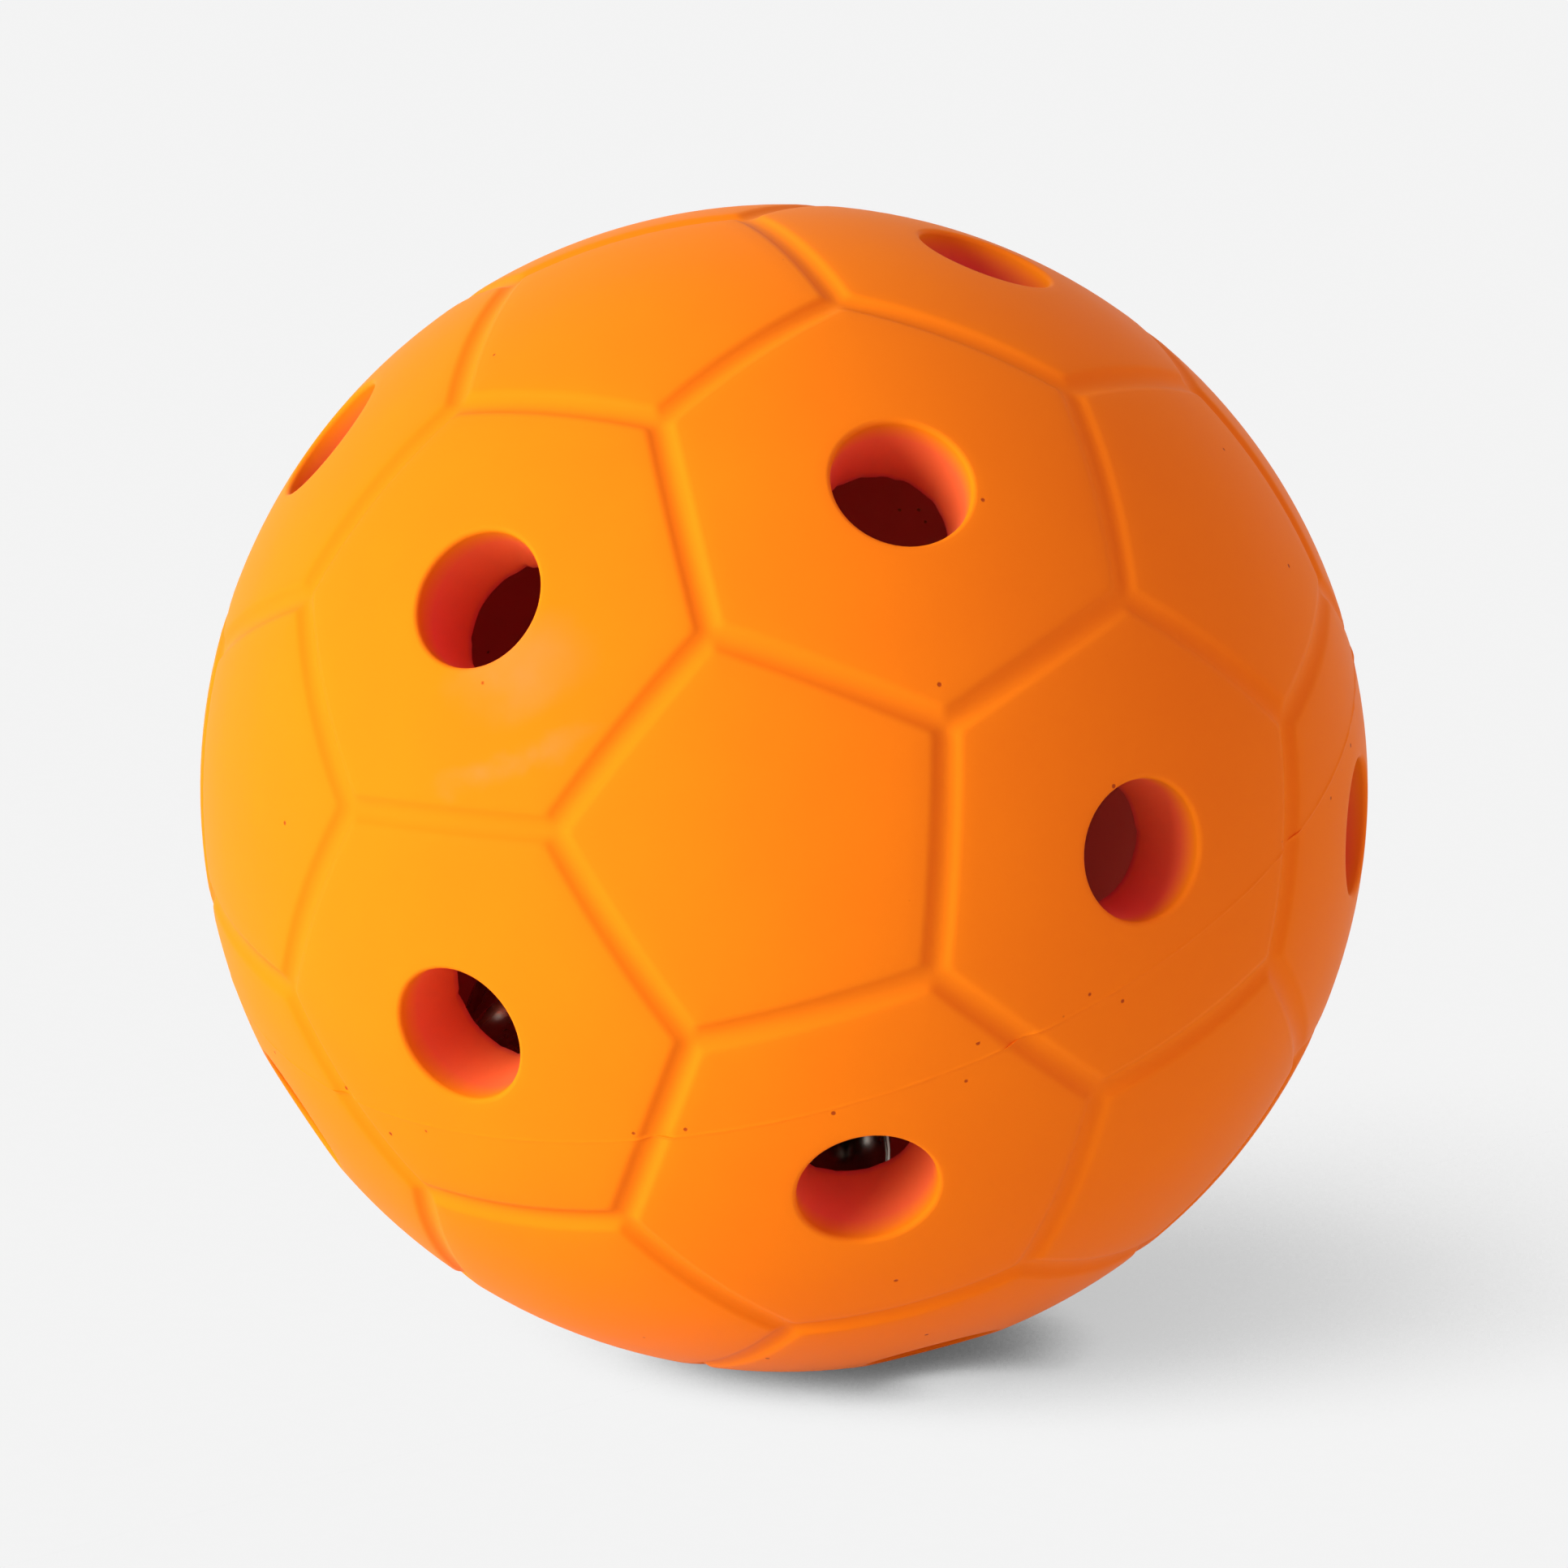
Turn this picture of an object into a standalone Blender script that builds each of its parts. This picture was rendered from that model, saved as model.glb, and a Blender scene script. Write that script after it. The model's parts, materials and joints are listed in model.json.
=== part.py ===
"""Baby ball with bells: a hollow rubber ball moulded in two halves, with loose jingle bells inside.

Metres, +Z up, origin at the centre of the ball, which lies on a floor as it came to rest.
"""

from math import asin, cos, pi, radians, sin, sqrt, tan

import bmesh
import bpy
from mathutils import Matrix, Vector

# Ball shell
BALL_DIAMETER = 0.100
SHELL_WALL = 0.008
SEAM_GAP = 0.0003
GROOVE_WIDTH = 0.0024
GROOVE_DEPTH = 0.0005

# Holes, one in the middle of each six-sided panel
HOLE_MOUTH_DIAMETER = 0.0116
HOLE_INNER_DIAMETER = 0.0108
HOLE_RIM_ROUNDING = 0.0005
HOLE_LAND = 0.0015

# How the ball lies: the mould's pole axis turned away from upright, in degrees about X, Y and Z
BALL_TURN = (23.13, -8.83, -16.97)

# Jingle bell, two pressed halves with a rim where they meet
BELL_DIAMETER = 0.018
BELL_SHEET = 0.0005
BELL_RIM_PROUD = 0.0003
BELL_RIM_HEIGHT = 0.0007
BELL_SEAM_GAP = 0.0003
SLOT_WIDTH = 0.0018
SLOT_TOP_DEPTH = 0.0030

# Wire loop on the bell's crown
LOOP_WIDTH = 0.0048
LOOP_WIRE_DIAMETER = 0.0012
LOOP_LEG = 0.0012
LOOP_SEAT_GAP = 0.0003

# Loose steel pellet in each bell
PELLET_DIAMETER = 0.0050
PELLET_CLEARANCE = 0.0005

# Room that the loose bells keep from the shell and from each other
BELL_CLEARANCE = 0.0006
LANE_GAP = 0.0006

# Each bell's lane, counted from the middle one, its side of the lane, and its loop's lean and turn in degrees
BELLS = {
    "middle_bell": (0, 0, -78, 20),
    "front_left_bell": (-1, -1, 10, 35),
    "front_right_bell": (1, -1, 14, 80),
    "back_left_bell": (-1, 1, -12, 65),
    "back_right_bell": (1, 1, -8, 10),
}

# Facets
PANEL_EDGE_SEGMENTS = 3
PANEL_RING_STEPS = 2
HOLE_SEGMENTS = 18
RIM_STEPS = 2
CAVITY_SUBDIVISIONS = 4
BELL_SEGMENTS = 16
BELL_ARC_STEPS = 4
WIRE_SEGMENTS = 8
LOOP_ARC_STEPS = 8
PELLET_SUBDIVISIONS = 2
SHARP_EDGE = radians(30)

# How far a cutter reaches past the faces that it cuts
CUT_MARGIN = 0.002
WELD = 0.000001

# Finishes: linear colour, roughness and metallic value
ORANGE_RUBBER = ((0.93, 0.23, 0.006), 0.45, 0.0)
NICKEL_PLATE = ((0.60, 0.57, 0.53), 0.30, 1.0)
BARE_STEEL = ((0.42, 0.40, 0.38), 0.35, 1.0)

BALL_RADIUS = BALL_DIAMETER / 2
CAVITY_RADIUS = BALL_RADIUS - SHELL_WALL
BELL_RADIUS = BELL_DIAMETER / 2
BELL_INNER_RADIUS = BELL_RADIUS - BELL_SHEET
BELL_REACH = BELL_RADIUS + BELL_RIM_PROUD
LANE_PITCH = 2 * BELL_REACH + LANE_GAP
BELL_CENTRE_RADIUS = CAVITY_RADIUS - BELL_REACH - BELL_CLEARANCE
PELLET_SWING = BELL_INNER_RADIUS - PELLET_DIAMETER / 2 - PELLET_CLEARANCE


def clear_scene():
    for item in list(bpy.data.objects):
        bpy.data.objects.remove(item, do_unlink=True)


def finish_of(name, colour, roughness, metallic):
    """A Principled material."""
    material = bpy.data.materials.new(name)
    material.use_nodes = True
    shader = material.node_tree.nodes["Principled BSDF"]
    shader.inputs["Base Color"].default_value = (*colour, 1.0)
    shader.inputs["Roughness"].default_value = roughness
    shader.inputs["Metallic"].default_value = metallic
    return material


def mesh_of(name, shape):
    """Turn a bmesh into a smooth-shaded mesh whose faces point out."""
    bmesh.ops.recalc_face_normals(shape, faces=shape.faces)
    mesh = bpy.data.meshes.new(name)
    shape.to_mesh(mesh)
    shape.free()
    mesh.shade_smooth()
    mesh.set_sharp_from_angle(angle=SHARP_EDGE)
    return mesh


def add_empty(name, parent=None):
    empty = bpy.data.objects.new(name, None)
    bpy.context.scene.collection.objects.link(empty)
    empty.parent = parent
    return empty


def add_piece(name, mesh, parent, finish):
    """A named sub-part with a mesh and a material of its own."""
    piece = bpy.data.objects.new(name, mesh.copy())
    bpy.context.scene.collection.objects.link(piece)
    piece.parent = parent
    piece.data.materials.append(finish_of(name, *finish))
    return piece


def add_cutter(name, mesh, parent):
    cutter = bpy.data.objects.new(name, mesh)
    bpy.context.scene.collection.objects.link(cutter)
    cutter.parent = parent
    cutter.hide_render = True
    cutter.display_type = "WIRE"
    return cutter


def cut(piece, cutter):
    step = piece.modifiers.new(cutter.name, "BOOLEAN")
    step.operation = "DIFFERENCE"
    step.solver = "EXACT"
    step.object = cutter


def arc(radius, start, end, steps):
    """Points (r, z) on a circle about the origin, by angle above the equator."""
    turn = (end - start) / steps
    return [(radius * cos(start + turn * i), radius * sin(start + turn * i)) for i in range(steps + 1)]


def turned_solid(profile, segments):
    """Spin a profile of (r, z) points, which starts and ends on the Z axis, into a solid."""
    shape = bmesh.new()
    points = [shape.verts.new((r, 0.0, z)) for r, z in profile]
    edges = [shape.edges.new(pair) for pair in zip(points, points[1:])]
    bmesh.ops.spin(
        shape,
        geom=points + edges,
        cent=(0, 0, 0),
        axis=(0, 0, 1),
        angle=2 * pi,
        steps=segments,
        use_merge=True,
    )
    bmesh.ops.remove_doubles(shape, verts=shape.verts, dist=WELD)
    return shape


def ball_panels():
    """The ball's flat panels, 12 with five sides and 20 with six: an icosahedron with its corners cut."""
    shape = bmesh.new()
    bmesh.ops.create_icosphere(shape, subdivisions=1, radius=BALL_RADIUS)
    bmesh.ops.bevel(
        shape,
        geom=shape.verts[:],
        offset=100 / 3,
        offset_type="PERCENT",
        affect="VERTICES",
        segments=1,
        profile=0.5,
    )
    corner_radius = max(v.co.length for v in shape.verts)
    bmesh.ops.scale(shape, verts=shape.verts, vec=Vector((1, 1, 1)) * BALL_RADIUS / corner_radius)
    return shape


def hole_directions():
    panels = ball_panels()
    ways = [f.calc_center_median().normalized() for f in panels.faces if len(f.verts) == 6]
    panels.free()
    return ways


def draw_in(shape, panel, share):
    """Add a ring inside a panel's outline, drawn in to a share of its width."""
    bmesh.ops.inset_individual(shape, faces=[panel], thickness=0.0)
    centre = panel.calc_center_median()
    for v in panel.verts:
        v.co = centre.lerp(v.co, share)


def ball_blank():
    """The solid outside of the ball: domed panels with a groove along every edge between them."""
    shape = ball_panels()
    bmesh.ops.subdivide_edges(shape, edges=shape.edges[:], cuts=PANEL_EDGE_SEGMENTS - 1)
    groove_floor = set(shape.verts)
    panels = shape.faces[:]
    hole_surround = HOLE_MOUTH_DIAMETER / 2 + HOLE_RIM_ROUNDING + HOLE_LAND
    for panel in panels:
        sides = len(panel.verts) // PANEL_EDGE_SEGMENTS
        reach = panel.calc_perimeter() / (2 * sides * tan(pi / sides))
        shoulder = reach - GROOVE_WIDTH / 2
        inmost = hole_surround if sides == 6 else shoulder / (PANEL_RING_STEPS + 1)
        for i in range(PANEL_RING_STEPS + 1):
            ring = shoulder + (inmost - shoulder) * i / PANEL_RING_STEPS
            draw_in(shape, panel, ring / reach)
            reach = ring
    bmesh.ops.poke(shape, faces=panels)
    for v in shape.verts:
        v.co = v.co.normalized() * (BALL_RADIUS - GROOVE_DEPTH if v in groove_floor else BALL_RADIUS)
    return shape


def hole_profile():
    """A hole's side from the cavity out to its rounded rim, as a plug that fills it."""
    inner = HOLE_INNER_DIAMETER / 2
    mouth = HOLE_MOUTH_DIAMETER / 2
    rim = mouth + HOLE_RIM_ROUNDING
    inner_height = sqrt(CAVITY_RADIUS**2 - inner**2)
    rim_height = sqrt(BALL_RADIUS**2 - rim**2)
    floor = inner_height - CUT_MARGIN
    profile = [(0.0, floor), (inner, floor), (inner, inner_height)]
    for i in range(RIM_STEPS + 1):
        lean = pi / 2 * i / RIM_STEPS
        r = rim - HOLE_RIM_ROUNDING * cos(lean)
        profile.append((r, rim_height - HOLE_RIM_ROUNDING * (1 - sin(lean))))
    profile += [(rim + CUT_MARGIN, rim_height + CUT_MARGIN), (0.0, rim_height + CUT_MARGIN)]
    return profile


def hole_plugs():
    """All the holes as one set of separate plugs, one along each six-sided panel's centre line."""
    plugs = bmesh.new()
    upright = Vector((0, 0, 1))
    plug = mesh_of("hole_plug", turned_solid(hole_profile(), HOLE_SEGMENTS))
    for way in hole_directions():
        first = len(plugs.verts)
        plugs.from_mesh(plug)
        plugs.verts.ensure_lookup_table()
        turn = upright.rotation_difference(way).to_matrix()
        bmesh.ops.rotate(plugs, verts=plugs.verts[first:], cent=(0, 0, 0), matrix=turn)
    return plugs


def half_space(side):
    """A block on one side of the parting plane, overlapping it by half the seam's gap."""
    shape = bmesh.new()
    width = BALL_DIAMETER + 2 * CUT_MARGIN
    bmesh.ops.create_cube(shape, size=width)
    bmesh.ops.translate(shape, verts=shape.verts, vec=(0, 0, side * (width - SEAM_GAP) / 2))
    return shape


def make_shell(ball):
    """Two half shells that meet at the mould's parting plane, each with ten holes through its wall."""
    blank = mesh_of("ball_blank", ball_blank())
    cavity = bmesh.new()
    bmesh.ops.create_icosphere(cavity, subdivisions=CAVITY_SUBDIVISIONS, radius=CAVITY_RADIUS)
    cavity = add_cutter("cavity", mesh_of("cavity", cavity), ball)
    holes = add_cutter("holes", mesh_of("holes", hole_plugs()), ball)
    for name, other_side in (("upper_half_shell", -1), ("lower_half_shell", 1)):
        half = add_piece(name, blank, ball, ORANGE_RUBBER)
        parting = name + "_parting"
        cut(half, cavity)
        cut(half, holes)
        cut(half, add_cutter(parting, mesh_of(parting, half_space(other_side)), ball))


def bell_half_profile():
    """One pressed half of a bell above its equator: dome, proud rim and inside."""
    foot = BELL_SEAM_GAP / 2
    rim_top = foot + BELL_RIM_HEIGHT
    outer_start = asin(rim_top / BELL_RADIUS)
    inner_start = asin(foot / BELL_INNER_RADIUS)
    outside = arc(BELL_RADIUS, pi / 2, outer_start, BELL_ARC_STEPS)
    inside = arc(BELL_INNER_RADIUS, inner_start, pi / 2, BELL_ARC_STEPS)
    outside[0] = (0.0, BELL_RADIUS)
    inside[-1] = (0.0, BELL_INNER_RADIUS)
    return outside + [(BELL_REACH, rim_top), (BELL_REACH, foot)] + inside


def slot_cross():
    """Two crossed slots as one cutter, from below the bell up to where the slots end."""
    shape = bmesh.new()
    reach = BELL_REACH + CUT_MARGIN
    bmesh.ops.create_cube(shape, size=SLOT_WIDTH)
    sides = [f for f in shape.faces if abs(f.normal.z) < 0.5]
    for side in bmesh.ops.extrude_discrete_faces(shape, faces=sides)["faces"]:
        bmesh.ops.translate(shape, verts=side.verts, vec=side.normal * (reach - SLOT_WIDTH / 2))
    for v in shape.verts:
        v.co.z = -SLOT_TOP_DEPTH if v.co.z > 0 else -reach
    return shape


def extrude(shape, faces, move):
    """Extrude faces along a vector and return the faces at the new end."""
    grown = bmesh.ops.extrude_face_region(shape, geom=faces)["geom"]
    points = [g for g in grown if isinstance(g, bmesh.types.BMVert)]
    bmesh.ops.translate(shape, verts=points, vec=move)
    return [g for g in grown if isinstance(g, bmesh.types.BMFace)]


def wire_loop():
    """A bent wire staple that stands on the crown: half a ring on two short legs."""
    shape = bmesh.new()
    bend = (LOOP_WIDTH - LOOP_WIRE_DIAMETER) / 2
    wire = LOOP_WIRE_DIAMETER / 2
    seat = sqrt(BELL_RADIUS**2 - (bend - wire) ** 2) + LOOP_SEAT_GAP
    bmesh.ops.create_circle(shape, cap_ends=True, radius=wire, segments=WIRE_SEGMENTS)
    bmesh.ops.translate(shape, verts=shape.verts, vec=(bend, 0, seat))
    top = extrude(shape, shape.faces[:], (0, 0, LOOP_LEG))
    bent = bmesh.ops.spin(
        shape,
        geom=top,
        cent=(0, 0, seat + LOOP_LEG),
        axis=(0, -1, 0),
        angle=pi,
        steps=LOOP_ARC_STEPS,
    )["geom_last"]
    bmesh.ops.delete(shape, geom=top, context="FACES_ONLY")
    end = [g for g in bent if isinstance(g, bmesh.types.BMFace)]
    extrude(shape, end, (0, 0, -LOOP_LEG))
    bmesh.ops.delete(shape, geom=end, context="FACES_ONLY")
    return shape


def bell_meshes():
    """The meshes that every bell shares: crown half, slotted half, slots, loop and pellet."""
    crown = turned_solid(bell_half_profile(), BELL_SEGMENTS)
    slotted = turned_solid([(r, -z) for r, z in bell_half_profile()], BELL_SEGMENTS)
    pellet = bmesh.new()
    bmesh.ops.create_icosphere(pellet, subdivisions=PELLET_SUBDIVISIONS, radius=PELLET_DIAMETER / 2)
    shapes = {
        "crown": crown,
        "slotted_half": slotted,
        "slots": slot_cross(),
        "loop": wire_loop(),
        "pellet": pellet,
    }
    return {name: mesh_of("bell_" + name, shape) for name, shape in shapes.items()}


def make_bell(name, meshes, lane, rest, tilt, spin):
    """A bell that rolls round the cavity on a lane beside the ball's centre, with its pellet.

    lane counts lanes from the middle one, rest is how far up the wall the bell lies, tilt leans
    its loop away from the ball's centre, and spin turns it about its loop; angles in radians.
    """
    offset = lane * LANE_PITCH
    track = add_empty(name + "_track")
    track.rotation_euler.x = rest
    bell = add_empty(name, track)
    bell.location = (offset, 0, -sqrt(BELL_CENTRE_RADIUS**2 - offset**2))
    bell.rotation_mode = "ZYX"
    bell.rotation_euler = (tilt, 0, spin)

    add_piece(name + "_crown", meshes["crown"], bell, NICKEL_PLATE)
    slotted = add_piece(name + "_slotted_half", meshes["slotted_half"], bell, NICKEL_PLATE)
    cut(slotted, add_cutter(name + "_slots", meshes["slots"], bell))
    add_piece(name + "_loop", meshes["loop"], bell, NICKEL_PLATE)

    turn = Matrix.Rotation(rest + tilt, 3, "X") @ Matrix.Rotation(spin, 3, "Z")
    pellet = add_piece(name + "_pellet", meshes["pellet"], bell, BARE_STEEL)
    pellet.location = turn.inverted() @ Vector((0, 0, -PELLET_SWING))


def make_bells():
    """Five bells in the bottom of the cavity: one in the middle lane and a pair in each side lane."""
    meshes = bell_meshes()
    side_track = sqrt(BELL_CENTRE_RADIUS**2 - LANE_PITCH**2)
    pair = asin(LANE_PITCH / 2 / side_track)
    for name, (lane, side, tilt, spin) in BELLS.items():
        make_bell(name, meshes, lane, side * pair, radians(tilt), radians(spin))


def main():
    clear_scene()
    ball = add_empty("ball")
    ball.rotation_euler = [radians(angle) for angle in BALL_TURN]
    make_shell(ball)
    make_bells()


main()
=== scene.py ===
"""Baby ball with bells: the moulded rubber ball, the jingle bells loose inside it and a plain studio.

Everything is in metres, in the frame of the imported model: +Z up, origin at the centre of the ball.
"""

import json
from math import asin, cos, pi, radians, sin, tan, atan

import bpy
import numpy as np
from bpy.props import FloatProperty, FloatVectorProperty, PointerProperty
from mathutils import Euler, Matrix, Vector, noise

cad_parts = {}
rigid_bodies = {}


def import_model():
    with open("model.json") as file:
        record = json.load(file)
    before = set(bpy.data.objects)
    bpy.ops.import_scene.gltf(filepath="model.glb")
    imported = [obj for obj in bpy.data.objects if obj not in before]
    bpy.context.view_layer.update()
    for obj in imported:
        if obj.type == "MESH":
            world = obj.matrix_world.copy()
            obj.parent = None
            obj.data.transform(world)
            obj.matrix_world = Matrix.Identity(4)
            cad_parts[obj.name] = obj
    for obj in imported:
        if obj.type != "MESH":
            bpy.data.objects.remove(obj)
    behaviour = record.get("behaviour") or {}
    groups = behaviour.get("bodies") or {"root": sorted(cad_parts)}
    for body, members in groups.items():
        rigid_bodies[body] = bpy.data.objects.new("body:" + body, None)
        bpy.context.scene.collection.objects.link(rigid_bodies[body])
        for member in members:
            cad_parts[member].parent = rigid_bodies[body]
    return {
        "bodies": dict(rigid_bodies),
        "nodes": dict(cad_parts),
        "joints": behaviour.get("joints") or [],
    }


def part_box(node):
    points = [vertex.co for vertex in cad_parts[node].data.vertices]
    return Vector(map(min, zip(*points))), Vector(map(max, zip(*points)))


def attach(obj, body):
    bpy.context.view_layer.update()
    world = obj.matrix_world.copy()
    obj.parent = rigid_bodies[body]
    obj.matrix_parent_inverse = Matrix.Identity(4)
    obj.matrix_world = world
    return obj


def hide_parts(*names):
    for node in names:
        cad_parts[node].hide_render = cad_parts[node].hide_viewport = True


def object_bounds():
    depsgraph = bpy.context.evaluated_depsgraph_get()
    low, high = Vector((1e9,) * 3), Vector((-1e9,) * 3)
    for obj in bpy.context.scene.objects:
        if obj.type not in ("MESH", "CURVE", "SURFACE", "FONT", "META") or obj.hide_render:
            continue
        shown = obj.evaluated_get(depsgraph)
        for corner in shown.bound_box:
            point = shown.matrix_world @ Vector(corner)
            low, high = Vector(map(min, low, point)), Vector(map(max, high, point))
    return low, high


bl_info = {
    "name": "Bell ball",
    "version": (1, 0, 0),
    "blender": (4, 5, 0),
    "location": "3D View > Sidebar > Bell ball",
    "description": "A rubber ball with holes and loose jingle bells, dressed around its packed model",
    "category": "Object",
}

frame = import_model()
CAD_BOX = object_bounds()
BELLS = sorted(body[: -len("_pellet")] for body in frame["bodies"] if body.endswith("_pellet"))
MM = 0.001

# Where a groove's cross-section has its points, as shares of its half width from its middle
GROOVE_POINTS = (0.0, 0.2, 0.4, 0.6, 0.72, 0.8, 0.88, 1.0, 1.14, 1.35)
# A groove is steepest here, between its round bottom and its rolled-over edge
GROOVE_STEEPEST = 0.8
# How far each ring of a six-sided panel is rounded off, from the groove in to the hole
PANEL_ROUNDING = (0.00, 0.02, 0.05, 0.10, 0.20, 0.35, 0.60, 1.00)
# Where the last of these rings lies, as a share of the radius of the hole's edge
LAST_RING = 1.06
# Rings of a five-sided panel, as shares of its width inside the grooves
BARE_PANEL_RINGS = (0.88, 0.75, 0.62, 0.50, 0.38, 0.26, 0.13)
# Panels with their middle lower than this, on a ball of radius 1, don't reach the parting line
LOWEST_PANEL = -0.3
# Edges of a panel's outline longer than this share of its reach are its straight sides
STRAIGHT_SIDE = 0.25
PANEL_EDGE_CUTS = 9
PANEL_CORNER_STEPS = 3
RIM_STEPS = 6
BORE_STEPS = 7
BORE_EDGE_STEPS = 3

# Mould flash along the parting line: height above the line, and how far it stands proud, in mm
FLASH_SECTION = ((0.30, 0.00), (0.22, 0.01), (0.15, 0.04), (0.09, 0.09), (0.04, 0.11), (0.00, 0.10))
# What is left of the flash where it is most worn, as a share of what is left where it is fullest
FLASH_LEAST = 0.4
# How sharply the full flash gives way to the worn one, and the size of its ragged bits
FLASH_FALL = 4
FLASH_TATTERS = 1.6 * MM
# The halves of the mould are alike: half a turn about this axis lays one on the other
SWAP_AXIS = Vector((cos(radians(18)), sin(radians(18)), 0))
# Nicks in the inner edges of the holes: their size, and how far up the bore and outwards they reach
NICK_SIZE = 1.1 * MM
NICKED_HEIGHT = 0.5 * MM
NICKED_WIDTH = 0.4 * MM

BELL_SEGMENTS = 48
BELL_RINGS = 24
# Length of the tools that cut the slots, as a share of a bell's diameter
SLOT_TOOL_LENGTH = 1.2
SLOT_DRILL_SIDES = 24
SLOT_EDGE_STEPS = 3
# Edges sharper than this are worn round
WORN_EDGE = radians(50)
WIRE_SEGMENTS = 16
LOOP_STEPS = 16
PELLET_SUBDIVISIONS = 4
# Dents that fit across a pellet
PELLET_DENTS = 3

# Faces that meet at less than this are shaded as one surface
SMOOTH_EDGE = radians(40)
# Corners nearer to each other than this are one corner, in a piece and where panels meet
SAME_CORNER = 0.00001
PANELS_MEET = 0.00002
# How exactly corners lie at a height, and how exactly a cut is made
SAME_HEIGHT = 1e-6
CUT_EXACT = 1e-7
# An odd place: no two corners of a bell are equally far from it
SORT_FROM = (0.0131, 0.0297, 0.0413)

MOTTLE_SIZE = 9 * MM
# Pale marks on the skin: a rubbed streak, then a wider painted sheen where the key's soft highlight would
# be; from, to and width
RUBBED_MARK_AND_SHEEN = (
    ((-0.0283, -0.0404, 0.0082), (-0.0144, -0.0457, 0.0144), 0.0034),
    ((-0.0270, -0.0375, 0.0165), (-0.0150, -0.0430, 0.0205), 0.0100),
)
# A mark is strongest out to the first share of its size, and gone at the second
MARK_FADE = (0.2, 1.1)
MARK_STRENGTH = 1.6
MARK_PATCHES = 5 * MM
MARK_BEND = 5 * MM
# Painted shade through the wall, at depths as shares of it: the painted darker red of the inside ends at
# the first, and the painted red of the holes starts to give way to the outside's colour at the second
INSIDE_SHADE_DEPTH = 0.9
HOLE_SHADE_DEPTH = 0.30
# The painted shade is gone a little below the bottom of the grooves, as a share of their depth
SHADE_GONE = 1.1
# Air pits: the radii of their bottom and their edge, and how far apart they are
PIT_BOTTOM = 0.12 * MM
PIT_EDGE = 0.24 * MM
PITS_APART = 7 * MM
LINE_PITS_APART = 2.2 * MM
# The pits of the parting line lie this close to it
PITTED_LINE = 1.6 * MM
RUBBER_ROUGHNESS = (0.40, 0.50)
GRAIN_SIZE = 0.35 * MM
# Height of the skin's grain and depth of its pits
SKIN_RELIEF = 0.1 * MM
PATCH_SIZE = 5 * MM
# Between these shares of its noise a metal goes from bright to dull
METAL_DULLS = (0.38, 0.66)
SCUFF_SIZE = 0.3 * MM
SCUFF_DEPTH = 0.05 * MM

FLOOR_SIZE = 12.0
PAPER_TOOTH = 2 * MM
# How much paler the paper is where its tooth stands up
PAPER_PALER = 1.01
# How open the floor is where the ball's wide and close shades are darkest, and where they end
SHADE_OPEN = (0.57, 0.82)
CONTACT_OPEN = (0.50, 0.77)
SHADE_SAMPLES = 16
# Where the soft light from behind comes from: a little to the right
BACK_FILL_WAY = (0.45, 0.89, 0.0)
# Cosines of the angles to the right and to the back between which their soft light takes over
RIGHT_FILL_BLEND = (-0.7, 0.7)
BACK_FILL_BLEND = (0.0, 0.6)
# Width of the frame that the lens is given for, in mm, and the nearest that the camera sees
FRAME_WIDTH = 36
CAMERA_NEAREST = 0.01


def linear(code):
    """A linear colour from an sRGB hex value."""
    shares = [int(code[i : i + 2], 16) / 255 for i in (0, 2, 4)]
    return [s / 12.92 if s <= 0.04045 else ((s + 0.055) / 1.055) ** 2.4 for s in shares]


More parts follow.
